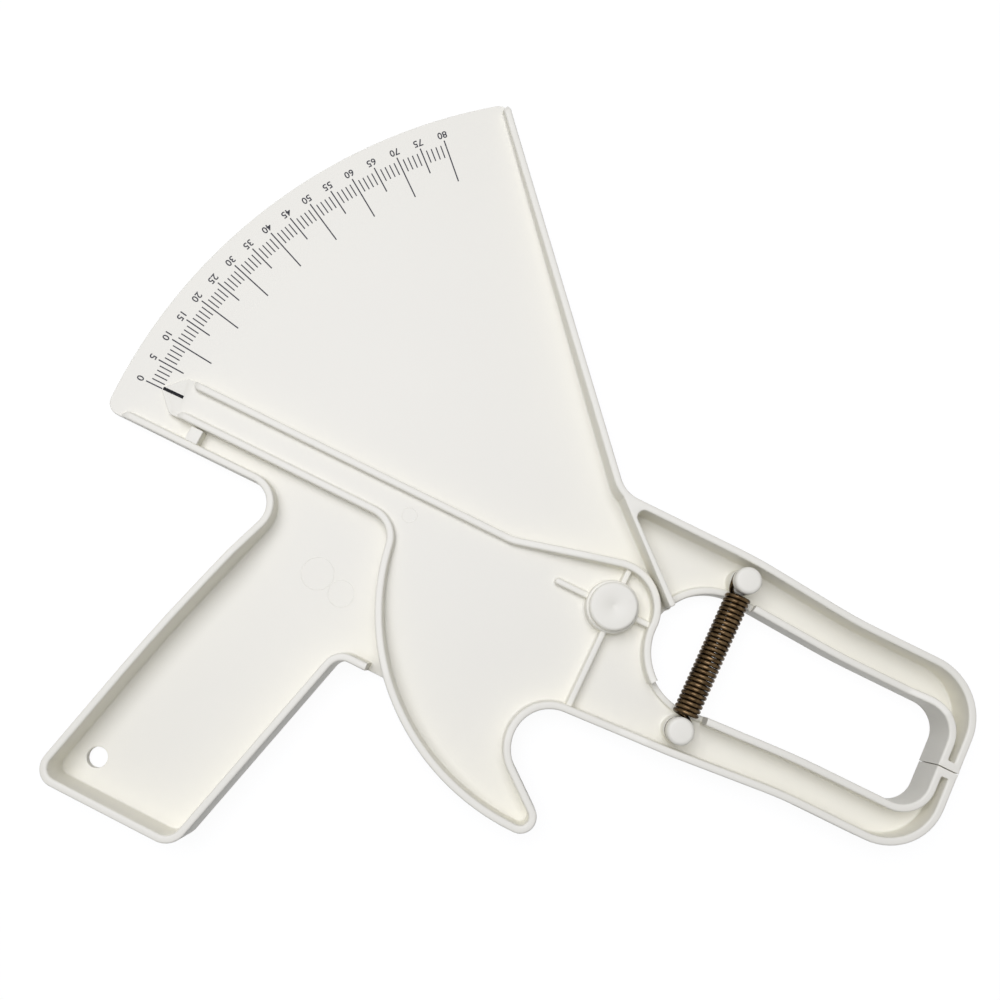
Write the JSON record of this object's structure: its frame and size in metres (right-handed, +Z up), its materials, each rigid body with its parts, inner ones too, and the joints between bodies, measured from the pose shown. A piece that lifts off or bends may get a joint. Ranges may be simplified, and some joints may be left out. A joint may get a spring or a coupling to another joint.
{
  "type": "skinfold caliper",
  "caption": "Skinfold caliper in off-white moulded plastic, with a fan-shaped dial plate, a pistol grip, a finger trigger and a sprung lever whose pointer shows the jaw gap.",
  "frame": {"origin": "on the axis of the lever's pivot, in the plane of the flat back", "axes": "+X from the pivot to the closed jaws' contact, +Y towards the fixed jaw arm, +Z up through the dial side"},
  "size_m": [0.2669, 0.2403, 0.015],
  "materials": {
    "white_plastic": "satin moulded, off-white",
    "spring_wire": "bronze-coloured drawn wire"
  },
  "bodies": {
    "frame": {"dial_frame": "white_plastic", "pivot_cap": "white_plastic", "fixed_spring_pin": "white_plastic", "tension_spring": "spring_wire"},
    "lever": {"trigger_lever": "white_plastic", "moving_spring_pin": "white_plastic"}
  },
  "joints": [
    {"name": "lever_pivot", "type": "hinge", "parent": "frame", "child": "lever", "pos_m": [0, 0, 0.006], "axis": [0, 0, -1], "range_deg": [0, 48], "stiffness_Nm_per_rad": 0.4, "springref_deg": -85.94, "deforming": ["tension_spring"]}
  ]
}
